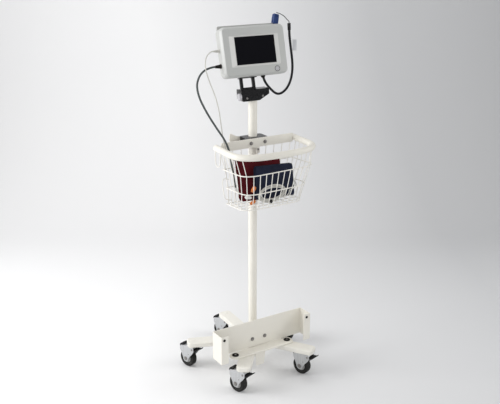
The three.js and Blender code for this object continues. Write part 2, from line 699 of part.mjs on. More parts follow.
function addCord(prefix, route, radius, split, material) {
  const curve = smooth(route);
  const half = gap / 2 / curve.getLength();
  const upper = tubeAlong(new Stretch(curve, 0, split - half), radius, 8, radius * 6);
  const lower = tubeAlong(new Stretch(curve, split + half, 1), radius, 8, radius * 6);
  add(`${prefix}_upper`, upper, material);
  add(`${prefix}_lower`, lower, material);
}

const clipPlace = [115, caseDepth - 20 + ridgeThickness / 2, caseHalfHeight + ridgeHeight];
const jawLength = 40;
const jawWidth = 20;
const jawThickness = 9;
const clipHinge = 22; // from the ridge up to the clip's hinge
const clipLean = 15; // degrees that the clip leans to the right

// A finger clip of two sprung jaws, standing on the ridge with one jaw each side of it. The front jaw
// carries the round hinge that the rear one rocks on.
function clipJaw(side) {
  const grip = ridgeThickness / 2 + gap;
  const outer = grip + jawThickness;
  const shape = polygon([[grip, -6], [outer - 2, -6], [outer, 4], [outer - 1, jawLength - 10],
    [outer - 5, jawLength - 6], [grip, jawLength - 6]]);
  const jaw = sideways(shape, -jawWidth / 2, jawWidth);
  if (side > 0) return jaw;
  const hinge = rod([-jawWidth / 2, 0, clipHinge], [jawWidth / 2, 0, clipHinge], grip - gap, 16);
  const arm = block(-jawWidth / 2, jawWidth / 2, -grip - 1, 0, clipHinge - 2, clipHinge + 2);
  return join(jaw.rotateZ(Math.PI), hinge, arm);
}

function addLeads() {
  add("lead_boot", boot(leadPort, 5.5, 3), leadGrey, monitorGroup);
  add("hose_boot", boot(hosePort, 7.5, 5), black, monitorGroup);
  addCord("hose", hoseRoute, hoseRadius, 0.5, hoseGrey);
  addCord("lead", leadRoute, leadRadius, 0.42, leadGrey);
  add("sensor_cable", tubeAlong(smooth(cableRoute), cableRadius, 8, cableRadius * 5), black);

  const cableEnd = new THREE.Vector3(...cableRoute.at(-1));
  const before = new THREE.Vector3(...cableRoute.at(-2));
  const along = cableEnd.clone().sub(before).normalize();
  const plugBase = cableEnd.clone().addScaledVector(along, gap);
  const plugTip = plugBase.clone().addScaledVector(along, 26);
  add("sensor_plug", rod(plugBase.toArray(), plugTip.toArray(), 6.5, 12), black);

  const clip = new THREE.Group();
  clip.position.set(...clipPlace);
  clip.rotation.y = rad(clipLean);
  monitorGroup.add(clip);
  add("clip_jaw_rear", clipJaw(1), blue, clip);
  add("clip_jaw_front", clipJaw(-1), blue, clip);
  group.updateMatrixWorld(true);
  const [cx, cy, cz] = clipPlace;
  const leadStart = plugTip.clone().addScaledVector(along, gap);
  const clipTop = fromMonitor(cx + 13, cy + 2, cz + 39);
  const thinRoute = [leadStart.toArray(), leadStart.clone().addScaledVector(along, 6).toArray(), [136,
    -30, 1434],
    [129, -22, 1445], [122, -10, 1453], clipTop];
  add("sensor_lead", tubeAlong(smooth(thinRoute), thinLeadRadius, 8, thinLeadRadius * 6), black);

  const tagPoint = smooth(cableRoute).getPointAt(0.86);
  const tag = add("cable_tag", upright(roundedRect(16, 42, 1), 0, 0.6, 0, 1), tagWhite);
  tag.position.copy(tagPoint).add(new THREE.Vector3(cableRadius + 11, -4, 4));
  tag.rotation.z = rad(-30);
}

function addHead() {
  add("head_clamp", headClamp(), black, headGroup);
  add("clamp_knob", knob(), silver, headGroup);
  add("mount_yoke", yoke(), black, tiltGroup);
  add("tilt_pin", tiltPin(), steel, headGroup);
}

addBase();
addPole();
addHolder();
addBasket();
addContents();
addHead();
addMonitor();
addLeads();

// The origin is on the floor under the middle of the stand and monitor, leads left out.
const leads = ["hose_upper", "hose_lower", "lead_upper", "lead_lower", "lead_coil", "sensor_cable",
  "sensor_plug",
  "sensor_lead", "cable_tag"];
group.updateMatrixWorld(true);
const extent = new THREE.Box3();
group.traverse((item) => {
  if (item.isMesh && !leads.includes(item.name)) extent.union(new THREE.Box3().setFromObject(item, true));
});
const middle = extent.getCenter(new THREE.Vector3());
group.position.set(-middle.x, -middle.y, -extent.min.z);

export default group;
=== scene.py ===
"""Looks for the patient monitor on its roll stand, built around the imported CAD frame."""
import json
import math

import bpy
from mathutils import Matrix, Vector, noise

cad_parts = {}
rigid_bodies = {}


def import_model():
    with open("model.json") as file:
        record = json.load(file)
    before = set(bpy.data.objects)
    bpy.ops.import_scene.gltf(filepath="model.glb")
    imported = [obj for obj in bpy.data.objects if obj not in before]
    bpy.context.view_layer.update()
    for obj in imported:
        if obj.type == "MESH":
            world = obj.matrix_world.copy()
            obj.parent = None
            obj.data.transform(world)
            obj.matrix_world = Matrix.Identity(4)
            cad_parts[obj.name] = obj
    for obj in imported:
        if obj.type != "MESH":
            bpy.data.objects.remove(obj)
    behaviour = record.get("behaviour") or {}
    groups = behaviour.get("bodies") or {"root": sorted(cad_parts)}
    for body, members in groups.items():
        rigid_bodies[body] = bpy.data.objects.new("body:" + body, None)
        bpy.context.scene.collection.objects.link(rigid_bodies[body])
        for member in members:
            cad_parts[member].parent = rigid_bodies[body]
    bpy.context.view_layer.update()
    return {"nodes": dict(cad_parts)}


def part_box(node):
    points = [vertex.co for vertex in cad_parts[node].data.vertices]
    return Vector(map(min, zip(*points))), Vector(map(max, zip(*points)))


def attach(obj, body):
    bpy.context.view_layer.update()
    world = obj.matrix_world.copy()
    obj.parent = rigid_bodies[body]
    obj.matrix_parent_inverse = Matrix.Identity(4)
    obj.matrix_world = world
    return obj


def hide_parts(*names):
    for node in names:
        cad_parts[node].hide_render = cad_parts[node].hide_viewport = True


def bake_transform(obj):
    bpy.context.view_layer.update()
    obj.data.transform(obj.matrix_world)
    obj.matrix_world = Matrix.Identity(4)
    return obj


for leftover in list(bpy.data.objects):
    bpy.data.objects.remove(leftover)

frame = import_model()

# ---- places: local millimetres to the row frame in metres ----
GAP = 0.3
pole_low, pole_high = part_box("pole")
POLE_X, POLE_Y = (pole_low.x + pole_high.x) / 2, (pole_low.y + pole_high.y) / 2


def move(x, y, z):
    return Matrix.Translation((x, y, z))


def turn(degrees, axis):
    return Matrix.Rotation(math.radians(degrees), 4, axis)


STAND = move(POLE_X, POLE_Y, 0) @ Matrix.Scale(0.001, 4)
HEAD = STAND @ turn(-9.2, "Z") @ move(0, -12, 1178) @ turn(-2.9, "Y")
TILT = HEAD @ turn(-11.2, "X")
MONITOR = TILT @ move(0, -55.8, 137.8)
RIM_HEIGHT = 971
RIM_LEAN = turn(-3, "Z") @ turn(-2.2, "Y") @ turn(3.4, "X")
BASKET = STAND @ move(0, 0, RIM_HEIGHT) @ RIM_LEAN
CLIP = MONITOR @ move(115, 47, 102.5) @ turn(15, "Y")


# ---- camera ----
camera_data = bpy.data.cameras.new("camera")
camera_data.lens = 49.887
camera_data.sensor_width = 36
camera_data.clip_end = 40
camera = bpy.data.objects.new("camera", camera_data)
camera.location = (POLE_X - 1.4523, POLE_Y - 2.2762, 1.4873)
camera.rotation_euler = (math.radians(90 - 15.879), 0, math.radians(-32.311))
bpy.context.scene.collection.objects.link(camera)
bpy.context.scene.camera = camera


# ---- shapes ----
class Shape:
    """Vertices in local millimetres, faces, and a material index for each face."""

    def __init__(self, verts=(), faces=(), index=0):
        self.v = [Vector(p) for p in verts]
        self.f = [tuple(q) for q in faces]
        self.m = [index] * len(self.f)

    def __add__(self, other):
        both = Shape()
        n = len(self.v)
        both.v = self.v + other.v
        both.f = self.f + [tuple(i + n for i in q) for q in other.f]
        both.m = self.m + other.m
        return both

    def at(self, matrix):
        moved = Shape([matrix @ p for p in self.v], self.f)
        moved.m = list(self.m)
        return moved

    def painted(self, index):
        self.m = [index] * len(self.f)
        return self


def total(shapes):
    whole = Shape()
    for shape in shapes:
        whole = whole + shape
    return whole


def loft(rings, cap_first=True, cap_last=True, index=0):
    """Skins rings of equal count. Rings run counterclockwise as seen from the last one."""
    n = len(rings[0])
    verts = [p for ring in rings for p in ring]
    faces = []
    for k in range(len(rings) - 1):
        for i in range(n):
            j = (i + 1) % n
            faces.append((k * n + i, k * n + j, (k + 1) * n + j, (k + 1) * n + i))
    if cap_first:
        faces.append(tuple(reversed(range(n))))
    if cap_last:
        faces.append(tuple((len(rings) - 1) * n + i for i in range(n)))
    return Shape(verts, faces, index)


def lathe(profile, sides=32, closed=False, index=0):
    """Turns [radius, z] pairs about Z, from the lowest to the highest outside."""
    rings = [[(r * math.cos(2 * math.pi * i / sides), r * math.sin(2 * math.pi * i / sides), z)
              for i in range(sides)] for r, z in profile]
    if closed:
        return loft(rings + [rings[0]], False, False, index)
    return loft(rings, True, True, index)


def along(a, b):
    """The matrix that takes the Z axis at the origin to the line from a towards b."""
    a, b = Vector(a), Vector(b)
    return Matrix.Translation(a) @ (b - a).to_track_quat("Z", "Y").to_matrix().to_4x4()


def rod(a, b, radius, sides=20, soft=0.0, index=0):
    length = (Vector(b) - Vector(a)).length
    if soft:
        profile = [(radius - soft, 0), (radius - soft * 0.3, soft * 0.3), (radius, soft),
            (radius, length - soft),
                   (radius - soft * 0.3, length - soft * 0.3), (radius - soft, length)]
    else:
        profile = [(radius, 0), (radius, length)]
    return lathe(profile, sides, index=index).at(along(a, b))


def block(x0, x1, y0, y1, z0, z1, index=0):
    low = [(x0, y0, z0), (x1, y0, z0), (x1, y1, z0), (x0, y1, z0)]
    high = [(x, y, z1) for x, y, _ in low]
    return loft([low, high], index=index)


def rounded(width, height, radius, steps=6, cx=0.0, cy=0.0):
    """A rounded rectangle, counterclockwise, with the same count of points for any size."""
    points = []
    radius = max(radius, 0.01)
    for q, (sx, sy) in enumerate([(1, -1), (1, 1), (-1, 1), (-1, -1)]):
        centre = (cx + sx * (width / 2 - radius), cy + sy * (height / 2 - radius))
        for i in range(steps + 1):
            a = math.radians(-90 + 90 * q + 90 * i / steps)
            points.append((centre[0] + radius * math.cos(a), centre[1] + radius * math.sin(a)))
    return points


def plate(outline, z0, z1, index=0):
    """An outline in XY, from z0 up to z1."""
    return loft([[(x, y, z0) for x, y in outline], [(x, y, z1) for x, y in outline]], index=index)


XZ = turn(90, "X")  # takes an XY outline to XZ, with its thickness from y = 0 towards -y
YZ = turn(90, "Z") @ turn(90, "X")  # takes an XY outline to YZ, with its thickness towards +x


def catmull(points, step=4.0, closed=False):
    """Points every `step` along the smooth centripetal curve through `points`."""
    pts = [Vector(p) for p in points]
    n = len(pts)
    if closed:
        ends = [pts[-1]] + pts + [pts[0], pts[1]]
    else:
        ends = [2 * pts[0] - pts[1]] + pts + [2 * pts[-1] - pts[-2]]
    fine = []
    for i in range(n if closed else n - 1):
        p0, p1, p2, p3 = ends[i:i + 4]
        d0, d1, d2 = ((p1 - p0).length ** 0.5, (p2 - p1).length ** 0.5, (p3 - p2).length ** 0.5)
        t1 = ((p1 - p0) / d0 - (p2 - p0) / (d0 + d1) + (p2 - p1) / d1) * d1
        t2 = ((p2 - p1) / d1 - (p3 - p1) / (d1 + d2) + (p3 - p2) / d2) * d1
        a, b = 2 * p1 - 2 * p2 + t1 + t2, -3 * p1 + 3 * p2 - 2 * t1 - t2
        for k in range(24):
            t = k / 24
            fine.append(((a * t + b) * t + t1) * t + p1)
    if not closed:
        fine.append(pts[-1])
    return even(fine + ([fine[0]] if closed else []), step)


def measure(points):
    return sum((b - a).length for a, b in zip(points, points[1:]))


def even(points, step):
    """The same line with points a whole number of near-equal steps apart."""
    count = max(2, round(measure(points) / step))
    lengths = [0.0]
    for a, b in zip(points, points[1:]):
        lengths.append(lengths[-1] + (b - a).length)
    result, k = [], 0
    for i in range(count + 1):
        s = lengths[-1] * i / count
        while k < len(lengths) - 2 and lengths[k + 1] < s:
            k += 1
        span = lengths[k + 1] - lengths[k] or 1.0
        result.append(points[k].lerp(points[k + 1], min(max((s - lengths[k]) / span, 0), 1)))
    return result


def tube(points, radius, sides=10, closed=False, index=0, ends=True):
    """A round tube along points. `radius` may be a function of the share of the way along."""
    n = len(points)
    first = (points[1] - points[0]).normalized()
    side = first.orthogonal().normalized()
    rings, before = [], first
    for i, p in enumerate(points):
        ahead, back = points[min(i + 1, n - 1)], points[max(i - 1, 0)]
        tangent = (ahead - back).normalized()
        side = (before.rotation_difference(tangent).to_matrix() @ side).normalized()
        before = tangent
        other = tangent.cross(side)
        r = radius(i / (n - 1)) if callable(radius) else radius
        ring = []
        for k in range(sides):
            a = 2 * math.pi * k / sides
            ring.append(p + (side * math.cos(a) + other * math.sin(a)) * r)
        rings.append(ring)
    if ends and not closed:  # rounded ends
        def cap(ring, p, q):
            r = (ring[0] - p).length
            out = (p - q).normalized()
            return [[p + (v - p) * 0.75 + out * r * 0.45 for v in ring],
                [p + (v - p) * 0.3 + out * r * 0.72 for v in ring]]
        start, stop = cap(rings[0], points[0], points[1]), cap(rings[-1], points[-1], points[-2])
        rings = [start[1], start[0]] + rings + stop
    return loft(rings, not closed, not closed, index)


# ---- materials ----
def shades(colour, share):
    return [min(1.0, c * share) for c in colour[:3]] + [1.0]


class Paint:
    """Builds one procedural material around a Principled shader."""

    def __init__(self, name, rough=0.5, metal=0.0):
        self.mat = bpy.data.materials.new(name)
        self.mat.use_nodes = True
        self.tree = self.mat.node_tree
        self.shader = next(n for n in self.tree.nodes if n.type == "BSDF_PRINCIPLED")
        self.put(self.shader, Roughness=rough, Metallic=metal)
        self.where = self.node("ShaderNodeTexCoord").outputs["Object"]

    def node(self, kind, **inputs):
        made = self.tree.nodes.new(kind)
        self.put(made, **inputs)
        return made

    def put(self, made, **inputs):
        for key, value in inputs.items():
            socket = made.inputs.get(key.replace("_", " "))
            if hasattr(value, "is_linked"):
                self.tree.links.new(value, socket)
            else:
                socket.default_value = value

    def stretched(self, x=1.0, y=1.0, z=1.0, rotate=(0, 0, 0)):
        mapping = self.node("ShaderNodeMapping", Vector=self.where, Scale=(x, y, z))
        mapping.inputs["Rotation"].default_value = rotate
        return mapping.outputs["Vector"]

    def noise(self, scale, detail=3.0, vector=None):
        return self.node("ShaderNodeTexNoise", Vector=vector or self.where, Scale=scale,
            Detail=detail).outputs["Fac"]

    def wave(self, scale, vector, axis="X", distortion=0.0):
        made = self.node("ShaderNodeTexWave", Vector=vector, Scale=scale, Distortion=distortion)
        made.bands_direction = axis
        return made.outputs["Fac"]

    def ramp(self, fac, low, high, start=0.3, stop=0.7):
        made = self.node("ShaderNodeMapRange", Value=fac)
        for key, value in zip(("From Min", "From Max", "To Min", "To Max"), (start, stop, low, high)):
            made.inputs[key].default_value = value
        return made.outputs["Result"]

    def math(self, operation, a, b):
        made = self.node("ShaderNodeMath")
        made.operation = operation
        for socket, value in zip(made.inputs, (a, b)):
            if hasattr(value, "is_linked"):
                self.tree.links.new(value, socket)
            else:
                socket.default_value = value
        return made.outputs[0]

    def mix(self, fac, a, b):
        made = self.node("ShaderNodeMix")
        made.data_type = "RGBA"
        for i, value in ((0, fac), (6, a), (7, b)):
            if hasattr(value, "is_linked"):
                self.tree.links.new(value, made.inputs[i])
            else:
                made.inputs[i].default_value = value
        return made.outputs[2]

    def bump(self, height, strength, distance=0.001):
        made = self.node("ShaderNodeBump", Height=height, Strength=strength, Distance=distance)
        previous = self.shader.inputs["Normal"]
        if previous.is_linked:
            self.tree.links.new(previous.links[0].from_socket, made.inputs["Normal"])
        self.tree.links.new(made.outputs["Normal"], previous)


def coated(name, colour, rough, metal=0.0, patch=0.04, patch_scale=18.0, grain=900.0, bump=0.08,
    spread=0.06, coat=0.0,
           shine=0.5):
    """Paint, plastic or metal: broad colour patches, fine grain in the bump, uneven gloss."""
    p = Paint(name, rough, metal)
    broad = p.noise(patch_scale, 4.0)
    colour_out = p.mix(p.ramp(broad, 0, 1), shades(colour, 1 - patch), shades(colour, 1 + patch))
    p.put(p.shader, Base_Color=colour_out)
    fine = p.noise(grain, 2.0)
    p.put(p.shader, Roughness=p.ramp(p.noise(patch_scale * 6, 3.0), rough - spread, rough + spread))
    p.bump(fine, bump, 0.0004)
    p.put(p.shader, Specular_IOR_Level=shine)
    if coat:
        p.put(p.shader, Coat_Weight=coat, Coat_Roughness=0.15)
    return p


def brushed(name, colour, rough, metal=0.9, direction="Z"):
    """Plated or drawn metal with fine streaks along one direction."""
    p = Paint(name, rough, metal)
    scale = {"X": (0.03, 1, 1), "Y": (1, 0.03, 1), "Z": (1, 1, 0.03)}[direction]
    streaks = p.noise(700, 3.0, p.stretched(*scale))
    p.put(p.shader, Base_Color=p.mix(p.ramp(streaks, 0, 1), shades(colour, 0.86), shades(colour, 1.08)))
    p.put(p.shader, Roughness=p.ramp(p.noise(60, 3.0), rough - 0.08, rough + 0.12))
    p.bump(streaks, 0.12, 0.0002)
    return p


def woven(name, colour, thread=0.0011, rough=0.85, sheen=0.06):
    """Plain-woven nylon: crossing threads, uneven dye and a soft sheen."""
    p = Paint(name, rough)
    bend = p.stretched(1, 1, 1)
    across = p.wave(1 / thread / 6.283 * 2, bend, "X", 0.4)
    up = p.wave(1 / thread / 6.283 * 2, bend, "Z", 0.4)
    weave = p.math("MULTIPLY", across, up)
    dye = p.noise(26, 5.0)
    base = p.mix(p.ramp(dye, 0, 1, 0.35, 0.65), shades(colour, 0.72), shades(colour, 1.2))
    p.put(p.shader, Base_Color=p.mix(p.ramp(weave, 0, 0.35, 0, 1), base, shades(colour, 1.9)))
    p.bump(weave, 0.5, 0.0004)
    p.bump(p.noise(55, 4.0), 0.35, 0.003)
    p.put(p.shader, Sheen_Weight=sheen, Sheen_Roughness=0.5, Specular_IOR_Level=0.12)
    return p


CREAM = (0.80, 0.775, 0.705)
cream = coated("cream_powder_coat", CREAM, 0.42, patch=0.025, patch_scale=7, grain=1400, bump=0.1)
cast = coated("cream_casting", (0.80, 0.78, 0.72), 0.45, patch=0.04, patch_scale=12, grain=500, bump=0.22)
wire_coat = coated("coated_wire", (0.83, 0.81, 0.76), 0.35, patch=0.05, patch_scale=30, grain=700, bump=0.1)
steel = brushed("pressed_steel", (0.62, 0.63, 0.64), 0.34)
bolt_steel = brushed("bolt_steel", (0.30, 0.29, 0.28), 0.42, direction="X")
tyre = coated("tyre_rubber", (0.022, 0.022, 0.021), 0.62, patch=0.25, patch_scale=40, grain=600,
    bump=0.3, shine=0.14)
core = coated("wheel_core", (0.46, 0.46, 0.45), 0.5, patch=0.08, patch_scale=50, grain=800, bump=0.15)
black = coated("black_moulding", (0.018, 0.018, 0.019), 0.48, patch=0.2, patch_scale=30, grain=1100,
    bump=0.2, shine=0.16)
enamel = coated("black_enamel", (0.012, 0.012, 0.013), 0.27, patch=0.25, patch_scale=20, grain=260,
    bump=0.06, coat=0.2, shine=0.22)
rubber = coated("black_rubber", (0.022, 0.02, 0.018), 0.75, patch=0.2, patch_scale=50, grain=900,
    bump=0.3, shine=0.1)
panel = coated("panel_grey", (0.50, 0.51, 0.495), 0.42, patch=0.025, patch_scale=9, grain=1500, bump=0.12)
shell = coated("shell_grey", (0.47, 0.475, 0.46), 0.5, patch=0.05, patch_scale=12, grain=1100, bump=0.2)
recess = coated("recess_grey", (0.66, 0.66, 0.64), 0.4, patch=0.02, patch_scale=20, grain=1500, bump=0.08)
glass = coated("screen_glass", (0.0035, 0.0035, 0.0055), 0.16, patch=0.1, patch_scale=6, grain=300,
    bump=0.004, spread=0.03, shine=0.1)
silver = coated("silver_plastic", (0.56, 0.555, 0.58), 0.3, 0.35, patch=0.05, patch_scale=60, grain=900,
    bump=0.1)
hose_skin = coated("hose_rubber", (0.075, 0.085, 0.085), 0.55, patch=0.12, patch_scale=30, grain=1000,
    bump=0.15, shine=0.25)
lead_skin = coated("lead_jacket", (0.56, 0.55, 0.51), 0.45, patch=0.07, patch_scale=40, grain=1200, bump=0.1)
cable_skin = coated("cable_jacket", (0.013, 0.013, 0.016), 0.42, patch=0.2, patch_scale=30, grain=900,
    bump=0.15, shine=0.2)
blue = coated("clip_blue", (0.022, 0.05, 0.17), 0.36, patch=0.12, patch_scale=60, grain=900, bump=0.12,
    shine=0.3)
orange = coated("orange_plastic", (0.60, 0.17, 0.025), 0.4, patch=0.1, patch_scale=60, grain=900, bump=0.1)
white = coated("white_plastic", (0.72, 0.72, 0.70), 0.35, patch=0.05, patch_scale=60, grain=900, bump=0.1)
film = coated("tag_film", (0.62, 0.63, 0.65), 0.25, patch=0.05, patch_scale=60, grain=400, bump=0.1)
board = coated("circuit_board", (0.02, 0.12, 0.05), 0.4, patch=0.3, patch_scale=120, grain=900, bump=0.2)
wrap = coated("battery_wrap", (0.03, 0.03, 0.04), 0.35, patch=0.2, patch_scale=40, grain=900, bump=0.1)
burgundy = woven("burgundy_nylon", (0.075, 0.0035, 0.007))
navy = woven("navy_nylon", (0.012, 0.016, 0.034))


# ---- making pieces ----
def piece(name, shape, place, body, materials, replaces=(), bevel=0.0, smooth=40):
    """One visible piece, its vertices already in the row frame."""
    mesh = bpy.data.meshes.new(name)
    mesh.from_pydata([place @ p for p in shape.v], [], shape.f)
    for paint in materials if isinstance(materials, (list, tuple)) else [materials]:
        mesh.materials.append(paint.mat)
    mesh.polygons.foreach_set("material_index", shape.m)
    mesh.polygons.foreach_set("use_smooth", [True] * len(shape.f))
    mesh.validate()
    mesh.update()
    made = bpy.data.objects.new(name, mesh)
    bpy.context.scene.collection.objects.link(made)
    mesh.set_sharp_from_angle(angle=math.radians(smooth))
    if bevel:
        soft = made.modifiers.new("soft", "BEVEL")
        soft.width, soft.segments, soft.limit_method = bevel * 0.001, 3, "ANGLE"
        soft.angle_limit = math.radians(35)
    if body:
        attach(made, body)
    if replaces:
        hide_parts(*([replaces] if isinstance(replaces, str) else replaces))
    return made


def carry_over(paint, *names):
    """A CAD node that keeps its shape gets its material here."""
    for name in names:
        node = frame["nodes"][name]
        node.data.materials.clear()
        node.data.materials.append(paint.mat)


# ---- cords: the routes of the CAD model, in millimetres about the pole ----
def from_monitor(x, y, z):
    return STAND.inverted() @ MONITOR @ Vector((x, y, z))


CASE_HALF_WIDTH, CASE_HALF_HEIGHT = 131, 93.5
BOOT = 24
LEAD_PORT, HOSE_PORT = (-CASE_HALF_WIDTH, 33, 11), (-CASE_HALF_WIDTH, 33, -46)


def past_boot(port, extra):
    return from_monitor(port[0] - GAP - BOOT - extra, port[1], port[2])


HOSE = [past_boot(HOSE_PORT, GAP), past_boot(HOSE_PORT, 8), (-198, 9, 1257), (-217, 4, 1248),
    (-231, -1, 1237),
        (-242, -6, 1222), (-249, -11, 1204), (-250, -17, 1182), (-245, -24, 1155), (-234, -30, 1127),
        (-216, -38, 1090), (-190, -48, 1045), (-164, -60, 1000), (-151, -67, 965), (-145, -71, 930),
        (-139, -74, 890), (-133, -76, 850), (-127, -77, 815)]
LEAD = [past_boot(LEAD_PORT, GAP), past_boot(LEAD_PORT, 7), (-186, 18, 1309), (-197, 12, 1298),
    (-203, 7, 1283),
        (-205, 3, 1264), (-202, -3, 1240), (-194, -12, 1205), (-182, -26, 1160), (-174, -38, 1110),
        (-168, -44, 1050), (-159, -42, 1000), (-147, -46, 955), (-120, -45, 918), (-60, -43, 890),
        (0, -42, 872), (55, -43, 856), (100, -50, 842), (126, -68, 829), (132, -98, 815), (122, -128, 801),
        (98, -141, 794), (78, -145, 791)]
CABLE = [from_monitor(35, 36, -CASE_HALF_HEIGHT - GAP), from_monitor(35, 36, -CASE_HALF_HEIGHT - 10),
         (66, 22, 1199), (71, 14, 1183), (79, 6, 1165), (91, -1, 1152), (106, -7, 1146), (124, -13, 1149),
         (142, -19, 1163), (155, -24, 1185), (163, -28, 1213), (166, -30, 1249), (162, -32, 1283),
         (155, -34, 1316), (149, -35, 1348), (144, -36, 1376), (143, -36, 1394)]
HOSE_R, LEAD_R, CABLE_R, THIN_R = 3.8, 2.1, 4.8, 1.4


def cord_piece(name, points, radius, paint, replaces, body=None, blend=None,
               sides=12):
    made = piece(name, tube(points, radius, sides, ends=False), STAND, body, paint, replaces, smooth=60)
    path = [STAND @ p for p in points]
    if blend:
        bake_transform(made)
    round(measure(path), 4)
    return made


def split(route, share):
    """The upper and lower parts of a route, which meet at that share of its length."""
    line = catmull(route, 3.0)
    at = round(share * (len(line) - 1))
    return line[:at + 1], line[at:]


hose_up, hose_down = split(HOSE, 0.5)
lead_up, lead_down = split(LEAD, 0.42)
cord_piece("hose_from_monitor", hose_up, HOSE_R, hose_skin, "hose_upper",
    blend=("monitor", "head"))
cord_piece("hose_to_basket", hose_down, HOSE_R, hose_skin, "hose_lower", blend=("head", "stand"))
cord_piece("lead_from_monitor", lead_up, LEAD_R, lead_skin, "lead_upper",
    blend=("monitor", "head"))
cord_piece("lead_to_basket", lead_down, LEAD_R, lead_skin, "lead_lower", blend=("head", "stand"))


def relaxed(points, rounds, held=1):
    """The same line with its sharp bends eased; a few points at each end stay where they are."""
    line = list(points)
    for _ in range(rounds):
        inner = [a.lerp(c, 0.5).lerp(b, 0.5) for a, b, c in zip(line, line[1:], line[2:])]
        line = line[:held] + inner[held - 1:len(line) - held - 1] + line[len(line) - held:]
    return line


cable_line = catmull(CABLE, 4.0)
cable_line = relaxed(relaxed(cable_line[:40], 260) + cable_line[40:], 24)
cord_piece("sensor_cable_loop", cable_line, CABLE_R, cable_skin, "sensor_cable",
    body="monitor",
           sides=16)


# the short lead from the cable's plug to the top of the clip
cable_end, cable_before = Vector(CABLE[-1]), Vector(CABLE[-2])
cable_way = (cable_end - cable_before).normalized()
PLUG = 26
thin_start = cable_end + cable_way * (GAP + PLUG + GAP)
THIN = [thin_start, thin_start + cable_way * 6, (136, -30, 1434), (129, -22, 1445), (122, -10, 1453),
        from_monitor(128, 49, 141.5)]
cord_piece("clip_lead", catmull(THIN, 2.0), THIN_R, cable_skin, "sensor_lead", body="monitor")

# the rest of the light lead lies in a flat oval coil behind the basket's front wires
COIL_PLACE = move(-4, -147, 790) @ turn(90 + 16.7, "X")
COIL_TURNS, COIL_STEP = 3.4, 4.6
coil_route = [Vector((78, -145, 791)), Vector((75, -146, 780)), Vector((66, -144, 770))]
for i in range(round(COIL_TURNS * 20)):
    a = math.radians(-42) - 2 * math.pi * i / 20
    grow = 7 - COIL_STEP * i / 20
    coil_route.append(COIL_PLACE @ Vector(((57.7 + grow) * math.cos(a), (33 + grow) * math.sin(a),
                                           1.6 * math.sin(1.7 * a))))
coil_line = catmull(coil_route, 4.0)
coil_tail, coil_before = coil_line[-1], coil_line[-4]
tail_way = (coil_tail - coil_before).normalized()
coil_plug = piece("coil_connector", rod(coil_tail + tail_way * GAP, coil_tail + tail_way * 15, 3.6, 16, 1.0),
                  STAND, "stand", white)
cord_piece("lead_coiled", coil_line, LEAD_R, lead_skin, "lead_coil", body="stand")


# ---- casters ----
def yz(outline, x0, x1, index=0):
    """A YZ outline made into a plate from x0 to x1."""
    return plate(outline, x0, x1, index).at(Matrix(((0, 0, 1, 0), (1, 0, 0, 0), (0, 1, 0, 0), (0, 0, 0, 1))))


def xz(outline, y0, y1, index=0):
    """An XZ outline made into a plate from y0 back to y1."""
    return plate(outline, -y1, -y0, index).at(XZ)


CHEEK_IN, CHEEK_OUT = 16.0, 18.6  # a fork cheek's two faces, from the middle of the caster
SWIVEL_CIRCLE, LEG_COUNT, FIRST_LEG, CASTER_TURN = 255, 5, 14, 16
AXLE = (30, 37.5)
PEDAL_PIN = (-8, 88.5)
CHEEK = [(-18, 97), (-15, 101.5), (-8, 102.5), (18, 102.5), (31, 98), (57, 92), (62.5, 87), (63.5, 80),
    (62, 72),
         (52, 53), (46, 40), (43.5, 31), (38, 24.8), (30, 22.5), (22, 24.8), (16.5, 31), (11, 43),
         (3, 55), (-8, 67),
         (-17, 80)]
HOOD = [(-18, 97), (-15, 101.5), (-8, 102.5), (18, 102.5), (31, 98), (57, 92), (62.5, 87), (63.5, 78),
    (61, 78),
        (60, 85.5), (55.5, 89.2), (30, 95), (17.5, 99), (-8, 99), (-15, 98)]
LOBE = [(44, 95.5), (53, 99.5), (61, 98.5), (66.5, 93), (67.5, 84), (66, 80), (64, 80), (64, 88), (58, 93)]


